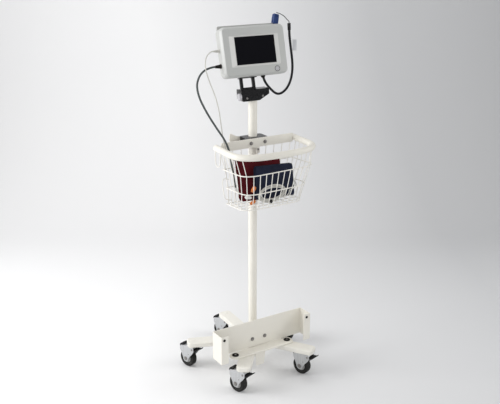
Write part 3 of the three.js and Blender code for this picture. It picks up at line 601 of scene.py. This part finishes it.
def caster(n, place):
    fork = yz(CHEEK, -CHEEK_OUT, -CHEEK_IN) + yz(CHEEK, CHEEK_IN, CHEEK_OUT) + yz(HOOD, -16.2, 16.2)
    fork += lathe([(0, 98), (16, 98), (17.5, 99), (17.5, 101.4), (15, 102.5), (0, 102.5)], 36)
    fork += lathe([(0, 101), (6, 101), (6, 124.6), (8.6, 124.9), (8.6, 125.4), (8, 125.7), (0, 125.7)],
        24, index=3)
    for side in (-1, 1):
        inner, outer = side * CHEEK_OUT, side * 20.2
        fork += rod((inner, *AXLE), (outer, *AXLE), 9.0, 28, 0.4, 1)
        fork += rod((outer, *AXLE), (side * 21.9, *AXLE), 6.2, 6, 0.5, 1)
        fork += rod((inner, *PEDAL_PIN), (side * 20.0, *PEDAL_PIN), 4.2, 20, 0.6, 1)
        fork += rod((inner, 12, 62), (side * 19.3, 12, 62), 2.0, 14, 0.2, 1)
    fork += rod((-20, *AXLE), (20, *AXLE), 3.9, 20, 0, 1)
    fork += yz(LOBE, -15, 15, 2)
    piece(f"caster_{n}_housing", fork, place, f"caster_{n}", [steel, bolt_steel, black, cast],
          f"caster_fork_{n}", bevel=0.6)
    spin = move(0, *AXLE) @ turn(90, "Y")
    tread = lathe([(20.5, -9.5), (24.5, -12.6), (32, -14.2), (34.5, -13.9), (36.3, -12), (37.3, -8.5),
        (37.5, 0),
                   (37.3, 8.5), (36.3, 12), (34.5, 13.9), (32, 14.2), (24.5, 12.6), (20.5, 9.5)], 56, True)
    hub = lathe([(4.4, -14.6), (8.5, -14.6), (9.4, -13.8), (10.2, -9), (12.5, -7.6), (17, -6.6), (19, -8),
                 (20.9, -10), (20.9, 10), (19, 8), (17, 6.6), (12.5, 7.6), (10.2, 9), (9.4, 13.8),
                 (8.5, 14.6),
                 (4.4, 14.6)], 48, True, 1)
    for i in range(5):  # stiffening ribs on both faces of the core
        spoke = turn(72 * i, "Z")
        for side in (-1, 1):
            hub += block(9.5, 19, -1.1, 1.1, *sorted((side * 6.5, side * 8.6)), 1).at(spoke)
    piece(f"caster_{n}_wheel", (tread + hub).at(spin), place, f"wheel_{n}", [tyre, core],
          f"caster_wheel_{n}", smooth=30)
    tread_side = [(-20.5, 87.5), (-20.5, 91.5), (-27, 91.2), (-33, 93.0), (-37.6, 96.4), (-40.2, 99.6),
        (-41, 98.8),
                  (-39, 94.2), (-34.5, 90.0), (-28, 87.6)]
    pedal = yz(tread_side, -19.4, 19.4) + yz([(-8, 83.5), (-8, 93.0), (-22, 91), (-22, 87.6)], -15.6, 15.6)
    pedal += rod((-15.6, *PEDAL_PIN), (15.6, *PEDAL_PIN), 6.0, 24, 0.5)
    for k in range(5):  # grip ribs across the tread
        y = -24 - 3.0 * k
        z = 91.3 + max(0, -27 - y) * 0.5
        pedal += rod((-17.5, y, z), (17.5, y, z), 0.7, 8)
    piece(f"caster_{n}_pedal", pedal, place, f"pedal_{n}", [black], f"brake_pedal_{n}",
        bevel=0.9)


for i in range(LEG_COUNT):
    angle = math.radians(FIRST_LEG + 360 / LEG_COUNT * i)
    spot = move(SWIVEL_CIRCLE * math.cos(angle), SWIVEL_CIRCLE * math.sin(angle), 0)
    caster(i + 1, STAND @ spot @ turn(CASTER_TURN, "Z"))

# ---- base, pole and holder ----
carry_over(cast, "base_hub", *[f"leg_{i}" for i in range(1, 6)])
carry_over(cream, "pole", "holder_bracket", "holder_stay", "holder_bar")
carry_over(rubber, "rubber_pad_left", "rubber_pad_right")
hub_details = Shape()
for i in range(3):
    way = turn(30 + 120 * i, "Z")
    hub_details += rod((26.4, 0, 144), (30.4, 0, 144), 4.5, 18, 0.6).at(way)
    hub_details += rod((30.0, 0, 144), (30.5, 0, 144), 2.2, 6).at(way)
piece("hub_screws", hub_details, STAND, "stand", bolt_steel)
seam = lathe([(17.9, 161.6), (21.5, 161.6), (21.2, 163.2), (18.2, 165.4), (17.9, 165.4)], 48, True)
piece("pole_collar_seal", seam, STAND, "stand", rubber)

HOLDER_X, HOLDER_FRONT, PLATE_FRONT = -34, -166, -99.5
HOLDER_BOLT_X, HOLDER_BOLT_Z, FLANGE_PLUG_Z = 30, 168.4, 236
PAD_Y, PAD_TOP = -123.8, 136.0
fasteners = Shape()
for side in (-1, 1):
    x = HOLDER_X + HOLDER_BOLT_X * side
    fasteners += rod((x, PLATE_FRONT + 0.1, HOLDER_BOLT_Z), (x, PLATE_FRONT - 1.4, HOLDER_BOLT_Z), 8.2,
        26, 0.4)
    fasteners += rod((x, PLATE_FRONT - 1.4, HOLDER_BOLT_Z), (x, PLATE_FRONT - 5.4, HOLDER_BOLT_Z), 5.4,
        24, 1.0)
    fasteners += rod((x, PLATE_FRONT - 5.3, HOLDER_BOLT_Z), (x, PLATE_FRONT - 5.6, HOLDER_BOLT_Z), 2.5, 6)
piece("holder_bolts", fasteners, STAND, "stand", bolt_steel)
plugs = Shape()
for x, z in ((-235.1, FLANGE_PLUG_Z), (161.3, FLANGE_PLUG_Z)):
    plugs += rod((x, HOLDER_FRONT - 0.1, z), (x, HOLDER_FRONT - 2.2, z), 5.6, 26, 1.2)
piece("flange_plugs", plugs, STAND, "stand", rubber)
pad_screws = Shape()
for x in (-160, 92):
    pad_screws += rod((x, PAD_Y, PAD_TOP), (x, PAD_Y, PAD_TOP + 0.7), 4.0, 20, 0.4)
piece("pad_screws", pad_screws, STAND, "stand", bolt_steel)

# ---- basket ----
RIM = 12.5
RIM_W, RIM_FRONT, RIM_CORNER, RIM_BULGE = 173, -224, 92, 9


def bezier(a, b, c, n=16):
    return [(Vector(a).lerp(Vector(b), t)).lerp(Vector(b).lerp(Vector(c), t),
        t) for t in [i / n for i in range(n)]]


def d_line(w, front, corner, bulge, back, z, knee=12.0):
    """The D of the rim, from the left end round the front to the right end."""
    v = lambda x, y: Vector((x, y, z))
    line = [v(-w, back).lerp(v(-w, front + corner), i / 8) for i in range(8)]
    line += bezier(v(-w, front + corner), v(-w, front + knee), v(-w + corner, front))
    line += bezier(v(-w + corner, front), v(0, front - bulge), v(w - corner, front), 24)
    line += bezier(v(w - corner, front), v(w, front + knee), v(w, front + corner))
    line += [v(w, front + corner).lerp(v(w, back), i / 8) for i in range(9)]
    return line


rim_line = even(d_line(RIM_W, RIM_FRONT, RIM_CORNER, RIM_BULGE, -22, 0), 8)
piece("basket_rim_tube", tube(rim_line, RIM, 28), BASKET, "stand", cream, "basket_rim",
    smooth=60)
carry_over(cream, "basket_back_plate")
carry_over(enamel, "head_clamp")
CLAMP_BACK, CLAMP_FRONT = 23.3, -37.7
ring = rounded(96, CLAMP_BACK - CLAMP_FRONT, 8, 8, 0, (CLAMP_BACK + CLAMP_FRONT) / 2)
clamp = plate(ring, -13, 20) + block(-44, 44, CLAMP_FRONT + 4, CLAMP_FRONT + 9, -13, 20.6)
clamp += block(-48.6, -47.6, -9, -7.4, -13, 20) + block(47.6, 48.6, -9, -7.4, -13, 20)
piece("pole_clamp", clamp, BASKET, "stand", enamel, "basket_clamp", bevel=1.2)

top_d = [RIM_LEAN @ p + Vector((0, 0, RIM_HEIGHT)) for p in
         even(d_line(RIM_W - 1, RIM_FRONT + 1, RIM_CORNER, RIM_BULGE, -34, -RIM + 1.5), 4)]
SAMPLES = 90


def level(t, line):
    """One level of the basket's wall: its share of the way down, and its outline at even steps."""
    return t, even(line, measure(line) / SAMPLES)


def lowered(width, front, corner, z, shift=0.0, lean=0.038):
    return [Vector((p.x + shift, p.y, p.z + lean * p.x)) for p in d_line(width, front, corner, 2, -32, z, 8)]


RING_ONE, RING_TWO = 0.33, 0.66
LEVELS = [level(0, top_d), level(RING_ONE, lowered(161, -198, 50, 886, 5)),
          level(RING_TWO, lowered(143, -186, 48, 811, 1)), level(1, lowered(138, -166, 42, 744, -3, 0.02))]


def cage(s, t):
    """The basket's wall at share s of the way round and t of the way down."""
    def pick(line):
        x = s * (len(line) - 1)
        i = min(int(x), len(line) - 2)
        return line[i].lerp(line[i + 1], x - i)
    for (t0, upper), (t1, lower) in zip(LEVELS, LEVELS[1:]):
        if t <= t1:
            return pick(upper).lerp(pick(lower), (t - t0) / (t1 - t0))


wires = Shape()
RING_WIRE, UPRIGHT_WIRE = 2.1, 1.6  # radii
for t in (RING_ONE, RING_TWO, 1.0):
    hoop = even([cage(s / 90, t) for s in range(91)], 7)
    back_run = [hoop[-1].lerp(hoop[0], i / 12) for i in range(1, 12)]
    wires += tube(hoop + back_run + [hoop[0]], RING_WIRE, 8, ends=False)
UPRIGHTS = 22
for k in range(UPRIGHTS):
    s = (k + 0.5) / UPRIGHTS
    in_front = 0.25 < s < 0.75
    start = RING_ONE if in_front else 0.0
    line = [cage(s, start + (1 - start) * i / 6) for i in range(7)]
    inward = (Vector((0, -90, 0)) - Vector((line[0].x, line[0].y, 0))).normalized() * 1.6
    wires += tube([p + inward for p in line], UPRIGHT_WIRE, 7)
for k in range(9):  # back uprights, and the floor wires that run on from them
    x = (k - 4) / 4
    top = RIM_LEAN @ Vector((x * 150, -40, -13)) + Vector((0, 0, RIM_HEIGHT))
    foot = Vector((x * 128, -28, 744))
    wires += tube([top.lerp(foot, i / 5) for i in range(6)], UPRIGHT_WIRE, 7)
    reach = -151 if abs(x) < 0.6 else -136 if abs(x) < 0.9 else -112
    wires += tube([foot, Vector((x * 128, (reach - 28) / 2, 743)), Vector((x * 128, reach, 744))],
        UPRIGHT_WIRE, 7)
for y in (-62, -96, -128):
    wires += tube([Vector((-136, y, 741.5)), Vector((0, y, 741.2)), Vector((136, y, 741.5))], UPRIGHT_WIRE, 7)
for y in (-33.0,):
    for t in (RING_ONE, RING_TWO):
        a, b = cage(0, t), cage(1, t)
        wires += tube([a, b], RING_WIRE, 8)
hook = catmull([(-171, -4, 952), (-173, -5, 925), (-172, -9, 896), (-168, -16, 887), (-164, -23, 896),
                (-164, -26, 925), (-165, -28, 952)], 4)
wires += tube(hook, 2.2, 8)
side_loop = catmull([(-153, -70, 848), (-178, -84, 858), (-196, -98, 852), (-196, -104, 815),
    (-186, -100, 786),
                     (-160, -84, 772), (-144, -72, 766)], 5)
wires += tube(side_loop, 1.9, 8)
piece("basket_cage", wires, STAND, "stand", wire_coat,
      [f"basket_wires_{side}" for side in ("front", "left", "right", "back", "floor")], smooth=60)

PLATE_BOLT_X = 31
plate_bolts = Shape()
for side in (-1, 1):
    x = PLATE_BOLT_X * side
    plate_bolts += rod((x, -43.1, 3), (x, -44.6, 3), 7.6, 26, 0.4)
    plate_bolts += rod((x, -44.6, 3), (x, -49.2, 3), 5.0, 24, 1.2)
    plate_bolts += rod((x, -49.1, 3), (x, -49.5, 3), 2.2, 6)
piece("plate_bolts", plate_bolts, BASKET, "stand", bolt_steel)
tab = block(-8, 8, -42.5, -39.5, -40, -14)
piece("clamp_tab", tab, BASKET, "stand", cream, bevel=1.0)
piece("clamp_tab_screw", rod((0, -42.6, -24), (0, -46, -24), 4.2, 20, 0.8), BASKET, "stand", bolt_steel)
hanger = xz([(-92, 6), (-90, 31), (-84, 34), (-58, 20), (-30, 18), (30, 18), (34, 14), (34, -10),
    (-60, -10), (-86, 0)],
            23.7, 26.7)
piece("cord_hanger", hanger, BASKET, "stand", cream, bevel=1.0)
clamp_screws = Shape()
for x in (-22, 22):
    clamp_screws += rod((x, 26.7, 2), (x, 30.7, 2), 5.0, 22, 0.8)
piece("hanger_screws", clamp_screws, BASKET, "stand", bolt_steel)


# ---- cuffs ----
def super_oval(width, depth, count=72, power=5.0):
    points = []
    for i in range(count):
        a = 2 * math.pi * i / count
        c, s = math.cos(a), math.sin(a)
        points.append((math.copysign(abs(c) ** (2 / power), c) * width / 2,
                       math.copysign(abs(s) ** (2 / power), s) * depth / 2))
    return points


def fold(width, depth, low, high, seed, lean=0.0, top_slope=0.0, belly=0.12, narrow=0.0):
    """One stuffed fold of cloth: flat faces, round edges, a soft top and slow wrinkles."""
    rings, count = [], 26
    for i in range(count):
        t = i / (count - 1)
        edge = min(t, 1 - t)
        soft = math.sin(min(1, edge * 9 + 0.06) * math.pi / 2)
        w = width * (1 - narrow * (1 - t)) - (1 - soft) * depth * 0.9
        d = depth * (0.25 + 0.75 * soft) * (1 + belly * math.sin(math.pi * t))
        ring = []
        for x, y in super_oval(w, d):
            z = low + (high - low) * t + top_slope * x * t
            x += lean * (t - 0.5)
            wrinkle = noise.noise(Vector((x / 46 + seed, seed, z / 62))) * 1.9
            wrinkle += noise.noise(Vector((x / 15, seed * 3, z / 24))) * 0.55
            ring.append((x, y + wrinkle * soft, z + noise.noise(Vector((x / 30, seed, 5))) * 1.6 * t))
        rings.append(ring)
    return loft(rings)


cuff_red = total([
    fold(196, 9.4, -83, 80, 1.3, lean=-18, top_slope=-0.05, narrow=0.08).at(move(0, -9.2, 0)),
    fold(193, 9.2, -82, 76, 4.1, lean=-18, top_slope=-0.05, narrow=0.09).at(move(1, 0, 0)),
    fold(196, 9.4, -83, 79, 8.7, lean=-18, top_slope=-0.05, narrow=0.08).at(move(-1, 9.2, 0))])
RED_PLACE = STAND @ move(-19, -76, 836) @ turn(2.5, "Y")
red = piece("burgundy_cuff", cuff_red, RED_PLACE, "stand", burgundy, "cuff_burgundy",
    smooth=70)
cuff_blue = total([
    fold(170, 9.2, -65, 63, 2.9, lean=-8, narrow=-0.05).at(move(-2, -9.0, 0)),
    fold(164, 9.0, -64, 60, 6.2, lean=2, narrow=0.02).at(move(2, 0, 0)),
    fold(172, 9.2, -65, 62, 9.9, lean=-8, narrow=-0.05).at(move(1, 9.0, 0))])
BLUE_PLACE = STAND @ move(30, -109, 828) @ turn(1.5, "Y") @ turn(-3, "X")
dark = piece("navy_cuff", cuff_blue, BLUE_PLACE, "stand", navy, "cuff_navy", smooth=70)

hose_end = hose_down[-1]
hose_way = (hose_end - hose_down[-4]).normalized()
fitting = lathe([(0, 0), (4.6, 0), (5.2, 1.2), (5.2, 8), (4.4, 9), (4.4, 11), (5.2, 12), (5.2, 19),
    (4.2, 21), (0, 21)],
                24).at(along(hose_end + hose_way * GAP, hose_end + hose_way * 21))
piece("hose_fitting", fitting, STAND, "stand", white)


def small_plug(name, spot, way, paint, r=5.0, length=17.0):
    way = Vector(way).normalized()
    body = lathe([(0, 0), (r * 0.6, 0), (r * 0.7, 2.5), (r, 4), (r, length - 6), (r * 0.72, length - 4.5),
                  (r * 0.72, length - 1), (r * 0.5, length), (0, length)], 20)
    piece(name, body.at(along(spot, Vector(spot) + way)), STAND, "stand", paint)


ORANGE_TOP, ORANGE_LOW, WHITE_MID, BLACK_LOW = (-80, -143, 826), (-78, -141, 770), (-124, -143,
    791), (-8, -143, 764)
small_plug("orange_plug_top", ORANGE_TOP, (-0.5, 0.15, -0.85), orange, 7.6, 24)
small_plug("orange_plug_low", ORANGE_LOW, (-0.6, 0.1, -0.35), orange, 6.6, 24)
small_plug("white_plug", WHITE_MID, (1, 0.05, -0.25), white, 6.4, 28)
small_plug("black_plug", BLACK_LOW, (0.3, 0.2, -0.9), black, 6.0, 15)

# ---- head: knob, yoke, pin ----
carry_over(bolt_steel, "tilt_pin")


def knob_edge(a):
    """The knob's lobed outline: its radius at one angle."""
    return KNOB_RADIUS + KNOB_LOBE * math.cos(9 * a)


KNOB_SEAT, KNOB_RADIUS, KNOB_LOBE = Vector((-58.8, -7, -27)), 13.9, 0.6
grip = []
for share, z in ((0.86, 0), (0.96, 0.8), (1.0, 2.0), (1.0, 9.2), (0.95, 10.6), (0.84, 11.0)):
    grip.append([(knob_edge(a) * share * math.cos(a), knob_edge(a) * share * math.sin(a), z)
                 for a in [2 * math.pi * i / 108 for i in range(108)]])
knob = loft(grip) + rod((0, 0, 10.5), (0, 0, 11.6), 8.0, 30, 0.5)
piece("knob_grip", knob.at(along(KNOB_SEAT, KNOB_SEAT - Vector((11, 0, 0)))), HEAD, "knob", silver,
      "clamp_knob", smooth=35)
POSTS = (-50, 0)
yoke = Shape()
for x in POSTS:
    yoke += rod((x - 6, 0, 0), (x + 6, 0, 0), 6.5, 30, 0.6)
    yoke += block(x - 6, x + 6, -4, 4, 0, 44.0)
yoke += block(-60, 10, -17, 9, 41.0, 44.0)
for x in (-54, -4):
    for y in (-12, 5):
        yoke += rod((x, y, 41), (x, y, 39.4), 3.0, 16, 0.4)
piece("tilt_yoke", yoke, TILT, "monitor", enamel, "mount_yoke", bevel=0.9)
head_screws = Shape()
for x, z in ((-36, -34), (30, -30)):
    head_screws += rod((x, -13.1, z), (x, -15.4, z), 4.2, 20, 0.6)
    head_screws += rod((x, -15.3, z), (x, -15.6, z), 2.0, 6)
piece("head_clamp_screws", head_screws, HEAD, "head", bolt_steel)


# ---- monitor ----
def face_ring(width, height, radius, y, cx=0.0, cz=0.0, flip=False):
    ring = [(x, y, z) for x, z in rounded(width, height, radius, 8, cx, cz)]
    return ring[::-1] if flip else ring


bezel_rings = [face_ring(w, h, r, y) for w, h, r, y in (
    (262, 187, 19, 17.0), (262, 187, 19, 13.0), (261.2, 186.2, 18.8, 11.6), (249.6, 174.6, 12.6, 1.2),
    (247.4, 172.4, 11.8, 0.1), (241, 166, 9.5, -0.1))]
bezel_rings += [face_ring(w, h, r, y, cx, cz) for w, h, r, y, cx, cz in (
    (201.6, 117.2, 4.4, -0.1, 0, 0), (200.2, 115.8, 3.8, 0.25, 0, 0), (163.6, 104.6, 1.2, 5.7, 4.6, 1.8),
    (163.0, 104.0, 1.0, 6.1, 4.6, 1.8), (240, 165, 8, 6.12, 0, 0), (240, 165, 8, 17.0, 0, 0))]
bezel = loft(bezel_rings + [bezel_rings[0]], False, False)
ring_count = len(bezel_rings[0])
for k in (7, 8):  # the light funnel down to the screen
    for i in range(ring_count):
        bezel.m[k * ring_count + i] = 1
piece("front_panel", bezel, MONITOR, "monitor", [panel, recess], "front_bezel", smooth=25)
carry_over(glass, "screen")
carry_over(silver, "power_button")
carry_over(board, "main_board")
carry_over(wrap, "battery_pack")
carry_over(film, "cable_tag")
carry_over(black, "sensor_plug")
BUTTON = (82.8, -74.5)
ring_grey = coated("button_ring_grey", (0.15, 0.15, 0.15), 0.45, patch=0.05, patch_scale=60, grain=900,
    bump=0.1)
button_ring = lathe([(8.7, 0), (11.2, 0), (11.0, 0.6), (10.4, 1.0), (9.3, 1.0), (8.7, 0.5)], 40, True)
piece("button_ring", button_ring.at(along((BUTTON[0], 0.2, BUTTON[1]), (BUTTON[0], -1, BUTTON[1]))),
    MONITOR, "monitor",
      ring_grey)

case_rings = [face_ring(w, h, r, y, flip=True) for w, h, r, y in (
    (250, 175, 14, 59), (256, 181, 16, 50), (256, 181, 16, 17.3), (262, 187, 19, 17.3), (262, 187, 19, 46),
    (261, 186, 18.6, 50), (258.5, 183.5, 17.6, 54.5), (253, 178, 16, 59), (245, 170, 14, 62.4),
    (234, 159, 12, 64))]
case = loft(case_rings)
case += xz(rounded(252, 20, 6, 8, 0, 92.5), 44, 50)
for k in range(9):  # cooling fins proud of the rear face
    case += block(-72, 72, 64.0 - 0.2, 65.0 - 1.0, 18 + 5 * k, 20 + 5 * k)
piece("rear_shell", case, MONITOR, "monitor", shell, "rear_case", smooth=30)
rear_details = Shape()
for x, z in ((-108, 62), (108, 62), (-108, -62), (108, -62)):
    rear_details += rod((x, 63.3, z), (x, 63.95, z), 4.2, 20, 0.2)
piece("rear_screws", rear_details, MONITOR, "monitor", bolt_steel)


def boot_shape(base, tip, ribs, length=BOOT):
    profile = [(0, 0), (base + 1.2, 0), (base + 1.2, 3), (base, 3.6), (base, 6)]
    for k in range(ribs):
        z = 6.5 + (length - 8.5) * k / ribs
        r = base + (tip - base) * (z - 6) / (length - 6)
        step = (length - 8.5) / ribs
        profile += [(r, z), (r, z + step * 0.55), (r - 0.7, z + step * 0.62), (r - 0.7, z + step * 0.95)]
    return lathe(profile + [(tip, length - 1.6), (tip, length - 0.4), (tip - 0.5, length), (0, length)], 28)


for name, port, base, tip, paint, slot_name, node_name in (
        ("lead_strain_relief", LEAD_PORT, 5.2, 3.0, lead_skin, "lead_grey", "lead_boot"),
        ("hose_strain_relief", HOSE_PORT, 7.2, 5.0, rubber, "black_rubber", "hose_boot")):
    shape = boot_shape(base, tip, 6).at(along((port[0] - GAP, port[1], port[2]), (port[0] - 2, port[1],
        port[2])))
    piece(name, shape, MONITOR, "monitor", paint, node_name, smooth=30)
sleeve = lathe([(0, 0), (8.6, 0), (8.6, 2), (8.0, 4.6), (6.4, 7.2), (3.6, 8.8), (0, 9.2)], 28)
piece("cable_strain_relief", sleeve.at(along((35, 36, -93.8), (35, 36, -110))), MONITOR, "monitor", rubber,
      smooth=30)

# ---- finger clip ----
jaw = [(3.3, -6), (9.6, -6), (11.2, -2), (12.3, 6), (12.0, 22), (10.6, 29), (7.6, 33.2), (3.3, 34)]
front_jaw = yz([(-y, z) for y, z in reversed(jaw)], -10, 10)
front_jaw += rod((-10, 0, 22), (10, 0, 22), 2.9, 20, 0.3) + block(-10, 10, -4.2, -0.5, 20.2, 23.8)
for k in range(4):
    front_jaw += rod((-7.5, -12.1, 24 + 2.2 * k - 4), (7.5, -12.1, 24 + 2.2 * k - 4), 0.6, 8)
piece("clip_front", front_jaw, CLIP, "monitor", blue, "clip_jaw_front", bevel=1.1)
piece("clip_rear", yz(jaw, -10, 10), CLIP, "clip", blue, "clip_jaw_rear", bevel=1.1)


# ---- stage and light ----
def stage_and_light():
    facing = Vector((0.538, 0.843, 0)).normalized()  # from the camera towards the stand
    right = Vector((facing.y, -facing.x, 0))
    rows, n = [], 14
    profile = [(-14.0, 0), (1.6, 0)] + [(1.6 + 1.4 * math.sin(a), 1.4 - 1.4 * math.cos(a))
                                       for a in [math.pi / 2 * i / n for i in range(1, n + 1)]] + [(3.0, 6.0)]
    centre = Vector((POLE_X, POLE_Y, 0))
    for d, z in profile:
        rows.append([centre + facing * d + right * s + Vector((0, 0, z)) for s in (-14.0, 14.0)])
    verts = [p for row in rows for p in row]
    faces = [(2 * i, 2 * i + 1, 2 * i + 3, 2 * i + 2) for i in range(len(rows) - 1)]
    mesh = bpy.data.meshes.new("backdrop")
    mesh.from_pydata(verts, [], faces)
    mesh.polygons.foreach_set("use_smooth", [True] * len(faces))
    p = Paint("backdrop_paper_painted_falloff", 0.9)
    # painted light falloff: the backdrop's colour runs from light on the left to darker towards the right and
    # higher up, standing in for the key light from the left
    across = p.node("ShaderNodeVectorMath", )
    across.operation = "DOT_PRODUCT"
    p.tree.links.new(p.where, across.inputs[0])
    across.inputs[1].default_value = (right.x, right.y, 0.25)
    side = p.ramp(across.outputs["Value"], 0, 1, -0.5, 1.3)
    p.put(p.shader, Base_Color=p.mix(side, (0.90, 0.90, 0.905, 1), (0.60, 0.605, 0.615, 1)))
    mesh.materials.append(p.mat)
    backdrop = bpy.data.objects.new("backdrop", mesh)
    bpy.context.scene.collection.objects.link(backdrop)

    def area(name, spot, target, size, power, tint=(1, 1, 1)):
        data = bpy.data.lights.new(name, "AREA")
        data.size, data.energy, data.color = size, power, tint
        light = bpy.data.objects.new(name, data)
        light.location = spot
        light.rotation_euler = (Vector(target) - Vector(spot)).to_track_quat("-Z", "Y").to_euler()
        bpy.context.scene.collection.objects.link(light)

    middle = centre + Vector((0, 0, 0.8))
    left_side = centre - right * 2.5 - facing * 0.5
    area("key", left_side + Vector((0, 0, 1.7)), middle + Vector((0, 0, 0.25)), 1.8, 60)
    area("fill", centre + right * 2.5 - facing * 0.2 + Vector((0, 0, 1.6)), middle, 1.8, 26)
    area("front", centre - right * 0.8 - facing * 3.2 + Vector((0, 0, 1.5)), middle, 2.6, 26)
    area("top", centre + Vector((0, 0, 3.4)), centre, 2.6, 8)
    area("back", centre + facing * 1.2 - right * 0.6 + Vector((0, 0, 3.0)),
        centre + facing * 2.6 + Vector((0, 0, 1)),
         2.0, 12)
    world = bpy.data.worlds.new("studio")
    bpy.context.scene.world = world
    world.use_nodes = True
    back = next(n for n in world.node_tree.nodes if n.type == "BACKGROUND")
    back.inputs["Color"].default_value = (1, 1, 1, 1)
    back.inputs["Strength"].default_value = 0.42


stage_and_light()
bpy.context.scene.view_settings.view_transform = "Standard"
